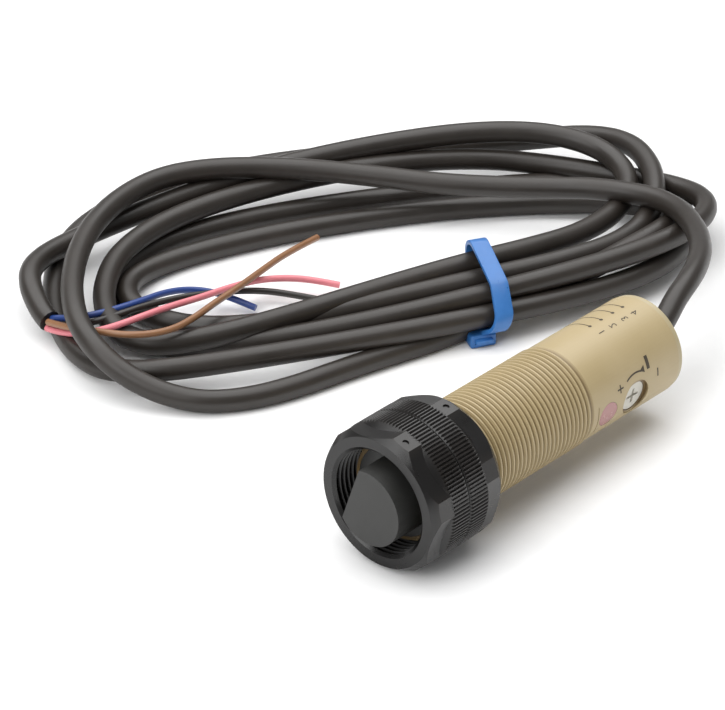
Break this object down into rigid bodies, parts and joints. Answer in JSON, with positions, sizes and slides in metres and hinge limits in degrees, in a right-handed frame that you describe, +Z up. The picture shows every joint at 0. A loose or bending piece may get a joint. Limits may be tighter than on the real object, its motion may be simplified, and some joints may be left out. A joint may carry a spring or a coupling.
{
  "type": "photoelectric sensor",
  "caption": "Cylindrical threaded photoelectric sensor with a side-looking optical head, clamping nuts, an indicator, a sensitivity adjuster and a tied coil of cable with stripped cores.",
  "frame": {"origin": "below the middle of the sensor's barrel, on the surface that the nuts' collars rest on", "axes": "+X along the barrel towards the optical head, +Z up; the cable's coil lies towards -Y"},
  "size_m": [0.1385, 0.1234, 0.0249],
  "materials": {
    "barrel_plastic": "fine satin moulding, beige",
    "head_plastic": "satin moulding, charcoal",
    "window_filter": "polished, infrared-passing, nearly black",
    "mirror_coating": "coated mirror",
    "holder_plastic": "matte moulding, black",
    "shield_metal": "rolled sheet",
    "lens_acrylic": "clear polished lens",
    "emitter_epoxy": "clear blue-grey epoxy",
    "diode_epoxy": "dark daylight-filter epoxy",
    "seal_rubber": "black nitrile",
    "board_laminate": "solder mask, green",
    "chip_epoxy": "moulded epoxy",
    "capacitor_can": "drawn can",
    "pot_case": "moulded case, blue",
    "chip_white": "moulded reflector with phosphor",
    "indicator_lens": "translucent red moulding",
    "adjuster_plastic": "fine moulding, off-white",
    "cap_plastic": "satin moulding, pale beige",
    "cable_jacket": "satin extruded PVC, dark grey-brown",
    "clamp_brass": "crimped sleeve",
    "inner_wire": "extruded insulation",
    "nut_plastic": "glass-filled nylon, black",
    "tie_plastic": "moulded nylon, blue",
    "core_blue": "extruded insulation, blue",
    "core_black": "extruded insulation, black",
    "core_pink": "extruded insulation, pink",
    "core_brown": "extruded insulation, brown"
  },
  "bodies": {
    "root": {"housing_tube": "barrel_plastic", "head_shell": "head_plastic", "head_window": "window_filter", "beam_mirror": "mirror_coating", "optics_holder": "holder_plastic", "optics_shield": "shield_metal", "emitter_lens": "lens_acrylic", "receiver_lens": "lens_acrylic", "infrared_emitter": "emitter_epoxy", "photodiode": "diode_epoxy", "head_seal": "seal_rubber", "main_board": "board_laminate", "control_chip": "chip_epoxy", "output_driver": "chip_epoxy", "board_capacitors": "capacitor_can", "sensitivity_pot": "pot_case", "indicator_chip": "chip_white", "indicator_lens": "indicator_lens", "adjuster_seal": "seal_rubber", "rear_cap": "cap_plastic", "cable_grommet": "seal_rubber", "cable_stub": "cable_jacket", "cable_clamp": "clamp_brass", "inner_leads": "inner_wire", "cable_coil": "cable_jacket", "cable_tie": "tie_plastic", "cable_lead": "cable_jacket", "core_blue": "core_blue", "core_black": "core_black", "core_pink": "core_pink", "core_brown": "core_brown"},
    "nut_front": {"nut_front": "nut_plastic"},
    "nut_rear": {"nut_rear": "nut_plastic"},
    "adjuster": {"adjuster_knob": "adjuster_plastic"}
  },
  "joints": [
    {"name": "nut_front_slide", "type": "slide", "parent": "root", "child": "nut_front", "axis": [1, 0, 0], "range_m": [0, 0.0035]},
    {"name": "nut_rear_slide", "type": "slide", "parent": "root", "child": "nut_rear", "axis": [-1, 0, 0], "range_m": [0, 0.0245]},
    {"name": "adjuster_turn", "type": "hinge", "parent": "root", "child": "adjuster", "pos_m": [-0.0219, 0, 0.01245], "axis": [0, 0.9816, -0.1908], "range_deg": [-120, 120]}
  ]
}
